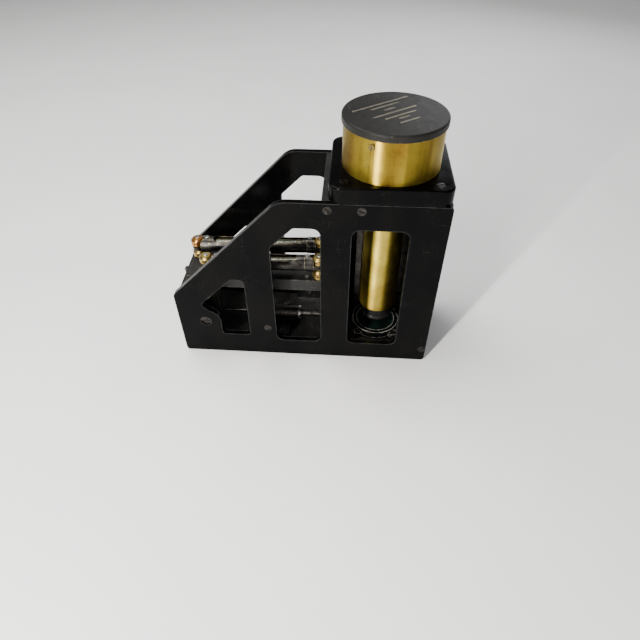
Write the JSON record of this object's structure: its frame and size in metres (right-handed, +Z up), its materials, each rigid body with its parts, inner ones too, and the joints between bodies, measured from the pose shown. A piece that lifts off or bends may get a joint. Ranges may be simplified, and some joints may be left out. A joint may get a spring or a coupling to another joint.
{
  "type": "spectroscope",
  "caption": "Desk optical instrument: a vertical brass tube in a turning drum on a slotted black tower, with spirit levels on a tilting cradle in the sloping nose of its side plates",
  "frame": {"origin": "middle of the base's flat underside", "axes": "+Z up along the tube, -X toward the sloping nose with the levels, +Y toward the far side plate"},
  "size_m": [0.233, 0.086, 0.2195],
  "materials": {
    "black_enamel": "glossy black enamel, lightly worn",
    "black_satin": "satin black",
    "dark_steel": "blackened steel",
    "bright_steel": "bright turned steel",
    "cap_black": "satin black lacquer, rubbed",
    "lacquered_brass": "polished, lacquered, brown tarnish streaks",
    "nut_brass": "worn brass",
    "tube_brass": "satin lacquered brass, speckled",
    "dark_bronze": "dull bronzed brass",
    "blackened_brass": "chemically blackened brass, rubbed",
    "vial_glass": "glass vial with pale yellow-green spirit",
    "clear_glass": "polished lens",
    "dark_glass": "dark greenish glass",
    "nickel": "dulled nickel"
  },
  "bodies": {
    "frame": {"side_plate_near": "black_enamel", "side_plate_far": "black_enamel", "base_plate": "black_satin", "nose_plate": "black_satin", "tower_inner_wall": "black_satin", "tower_end_wall": "black_satin", "head_block": "black_enamel", "head_screws": "dark_steel", "plate_screws": "dark_steel", "tube_guide": "dark_bronze", "ring_cell": "nickel", "ring_glass": "dark_glass", "ring_screws": "dark_steel", "pivot_screws": "dark_steel", "nose_screw": "dark_steel", "rest_ledge": "black_satin", "rod_bracket": "black_satin", "bracket_screws": "dark_steel", "floor_screws": "dark_steel"},
    "cap": {"dust_cap": "cap_black"},
    "drum": {"drum_shell": "lacquered_brass", "drum_screw": "dark_steel", "objective_lens": "clear_glass", "lens_ring": "lacquered_brass"},
    "tube": {"brass_tube": "tube_brass", "inner_tube": "black_satin", "slit_disc": "bright_steel"},
    "cradle": {"cradle_deck": "black_satin", "deck_screws": "bright_steel", "level_studs": "bright_steel", "lower_nuts": "nut_brass"},
    "tilt_nut": {"tilt_knob": "dark_steel"},
    "tilt_shank": {"tilt_screw": "dark_steel"},
    "plunger": {"plunger_rod": "dark_steel", "plunger_ring": "bright_steel", "spring": "bright_steel"},
    "far_level": {"far_level_tube": "blackened_brass", "far_level_ends": "blackened_brass", "far_vial": "vial_glass", "far_level_screws": "bright_steel"},
    "near_level": {"near_level_tube": "blackened_brass", "near_level_ends": "blackened_brass", "near_vial": "vial_glass", "near_level_screws": "bright_steel"},
    "far_clamp_nut": {"nut_far_left": "nut_brass"},
    "near_clamp_nut": {"nut_near_left": "nut_brass"},
    "far_set_nut": {"nut_far_right": "nut_brass"},
    "near_set_nut": {"nut_near_right": "nut_brass"}
  },
  "joints": [
    {"name": "cap_lift", "type": "slide", "parent": "drum", "child": "cap", "axis": [0, 0, 1], "range_m": [0, 0.03]},
    {"name": "drum_turn", "type": "hinge", "parent": "frame", "child": "drum", "pos_m": [0.0682, 0, 0.19], "axis": [0, 0, 1], "range_deg": [-120, 120]},
    {"name": "tube_focus", "type": "slide", "parent": "frame", "child": "tube", "axis": [0, 0, 1], "range_m": [-0.00202, 0.00202]},
    {"name": "cradle_tilt", "type": "hinge", "parent": "frame", "child": "cradle", "pos_m": [-0.0899, 0, 0.0394], "axis": [0, -1, 0], "range_deg": [-0.61, 0.61]},
    {"name": "tilt_nut_turn", "type": "hinge", "parent": "cradle", "child": "tilt_nut", "pos_m": [0.0035, 0, 0.077], "axis": [0, 0, 1], "range_deg": [-360, 360]},
    {"name": "tilt_screw_slide", "type": "slide", "parent": "cradle", "child": "tilt_shank", "axis": [0, 0, 1], "range_m": [-0.00101, 0.00101]},
    {"name": "plunger_slide", "type": "slide", "parent": "frame", "child": "plunger", "axis": [1, 0, 0], "range_m": [-0.0003, 0.0003], "deforming": ["spring"]},
    {"name": "far_level_tilt", "type": "hinge", "parent": "cradle", "child": "far_level", "pos_m": [-0.1023, 0.0128, 0.0857], "axis": [0, -1, 0], "range_deg": [-0.248, 0.248]},
    {"name": "near_level_tilt", "type": "hinge", "parent": "cradle", "child": "near_level", "pos_m": [-0.0885, -0.0128, 0.0857], "axis": [0, -1, 0], "range_deg": [-0.282, 0.282]},
    {"name": "far_clamp_nut_turn", "type": "hinge", "parent": "cradle", "child": "far_clamp_nut", "pos_m": [-0.1023, 0.0128, 0.0892], "axis": [0, 0, 1], "range_deg": [-180, 0]},
    {"name": "near_clamp_nut_turn", "type": "hinge", "parent": "cradle", "child": "near_clamp_nut", "pos_m": [-0.0885, -0.0128, 0.0892], "axis": [0, 0, 1], "range_deg": [-180, 0]},
    {"name": "far_set_nut_turn", "type": "hinge", "parent": "far_level", "child": "far_set_nut", "pos_m": [0.013, 0.0128, 0.0929], "axis": [0, 0, 1], "range_deg": [-360, 360]},
    {"name": "near_set_nut_turn", "type": "hinge", "parent": "near_level", "child": "near_set_nut", "pos_m": [0.013, -0.0128, 0.0925], "axis": [0, 0, 1], "range_deg": [-360, 360]}
  ],
  "couplings": [
    {"joint": "tube_focus", "follows": "drum_turn", "m_per_rad": -0.00095493},
    {"joint": "tilt_nut_turn", "follows": "cradle_tilt", "ratio": 586.85},
    {"joint": "tilt_screw_slide", "follows": "cradle_tilt", "m_per_rad": -0.0934},
    {"joint": "plunger_slide", "follows": "cradle_tilt", "m_per_rad": 0.0246},
    {"joint": "far_set_nut_turn", "follows": "far_level_tilt", "ratio": 1448.9},
    {"joint": "near_set_nut_turn", "follows": "near_level_tilt", "ratio": 1275.5}
  ]
}
